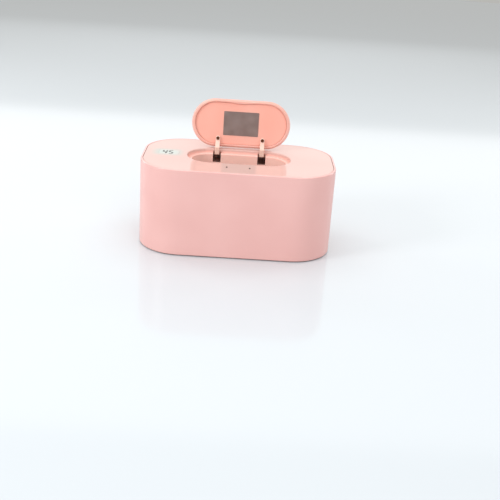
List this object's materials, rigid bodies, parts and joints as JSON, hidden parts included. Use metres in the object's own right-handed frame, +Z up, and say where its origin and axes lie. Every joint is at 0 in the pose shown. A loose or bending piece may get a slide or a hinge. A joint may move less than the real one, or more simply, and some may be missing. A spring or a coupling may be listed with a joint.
{
  "type": "baby wipe warmer",
  "caption": "Rounded desktop wipe warmer: heated tub in an insulated shell, a hinged cover with a display, and a flip lid on goose-neck arms over the opening.",
  "frame": {"origin": "on the floor, under the middle of the body, at the underside of the centre foot", "axes": "+X along the length, to the right seen from the front; +Y to the back, where the hinges are; +Z up"},
  "size_m": [0.235, 0.1503, 0.1662],
  "materials": {
    "shell_pink": "satin moulded ABS",
    "deck_pink": "polished moulded ABS",
    "lid_pink": "polished moulded ABS",
    "panel_salmon": "fine satin",
    "arm_cream": "satin moulded",
    "screw_steel": "zinc-plated",
    "dark_screw": "black-oxide steel",
    "pin_steel": "ground",
    "rubber_grey": "matt",
    "tub_white": "moulded polypropylene",
    "spreader": "mill finish",
    "film_amber": "polyimide film",
    "pad_grey": "felt",
    "sensor_black": "epoxy",
    "cutoff_white": "moulded",
    "board_green": "solder mask",
    "plug_steel": "plated",
    "coil_grey": "ferrite",
    "terminal_ivory": "moulded nylon",
    "lead_red": "silicone sleeve",
    "ribbon_white": "ribbon cable",
    "lens_white": "acrylic",
    "contact_gold": "gold-plated",
    "foil_grey": "satin foil",
    "pipe_clear": "acrylic"
  },
  "bodies": {
    "body": {"outer_shell": "shell_pink", "base_plate": "shell_pink", "base_screw_1": "screw_steel", "base_screw_2": "screw_steel", "base_screw_3": "screw_steel", "base_screw_4": "screw_steel", "rubber_foot_1": "rubber_grey", "rubber_foot_2": "rubber_grey", "rubber_foot_3": "rubber_grey", "rubber_foot_4": "rubber_grey", "rubber_foot_5": "rubber_grey", "wipe_tub": "tub_white", "heat_spreader": "spreader", "heater_film": "film_amber", "insulation_pad": "pad_grey", "thermistor": "sensor_black", "thermal_cutoff": "cutoff_white", "control_board": "board_green", "usb_shell": "plug_steel", "usb_tongue": "sensor_black", "power_coil": "coil_grey", "terminal_block": "terminal_ivory", "heater_leads": "lead_red", "board_screw_1": "screw_steel", "board_screw_2": "screw_steel", "board_screw_3": "screw_steel", "board_screw_4": "screw_steel", "rim_seal": "rubber_grey", "cover_hinge_pin_left": "pin_steel", "cover_hinge_pin_right": "pin_steel", "contact_block": "sensor_black", "signal_ribbon": "ribbon_white"},
    "cover": {"cover_deck": "deck_pink", "cover_liner": "deck_pink", "liner_screw_1": "screw_steel", "liner_screw_2": "screw_steel", "liner_screw_3": "screw_steel", "liner_screw_4": "screw_steel", "liner_screw_5": "screw_steel", "liner_screw_6": "screw_steel", "display_lens": "lens_white", "display_module": "cutoff_white", "display_board": "board_green", "touch_pillar": "sensor_black", "light_pipe_left": "pipe_clear", "light_pipe_right": "pipe_clear", "indicator_board": "board_green", "hinge_bracket": "arm_cream", "bracket_screw_left": "screw_steel", "bracket_screw_right": "screw_steel", "lid_pin": "pin_steel", "contact_pads": "contact_gold", "display_ribbon": "ribbon_white"},
    "lid": {"lid_shell": "lid_pink", "lid_panel": "panel_salmon", "foil_plate": "foil_grey", "hinge_arm_left": "arm_cream", "hinge_arm_right": "arm_cream", "arm_screw_left": "dark_screw", "arm_screw_right": "dark_screw"}
  },
  "joints": [
    {"name": "cover_hinge", "type": "hinge", "parent": "body", "child": "cover", "pos_m": [0, 0.0753, 0.1045], "axis": [-1, 0, 0], "range_deg": [0, 102]},
    {"name": "lid_flip", "type": "hinge", "parent": "cover", "child": "lid", "pos_m": [0, 0.0359, 0.1014], "axis": [-1, 0, 0], "range_deg": [-97, 0]}
  ]
}
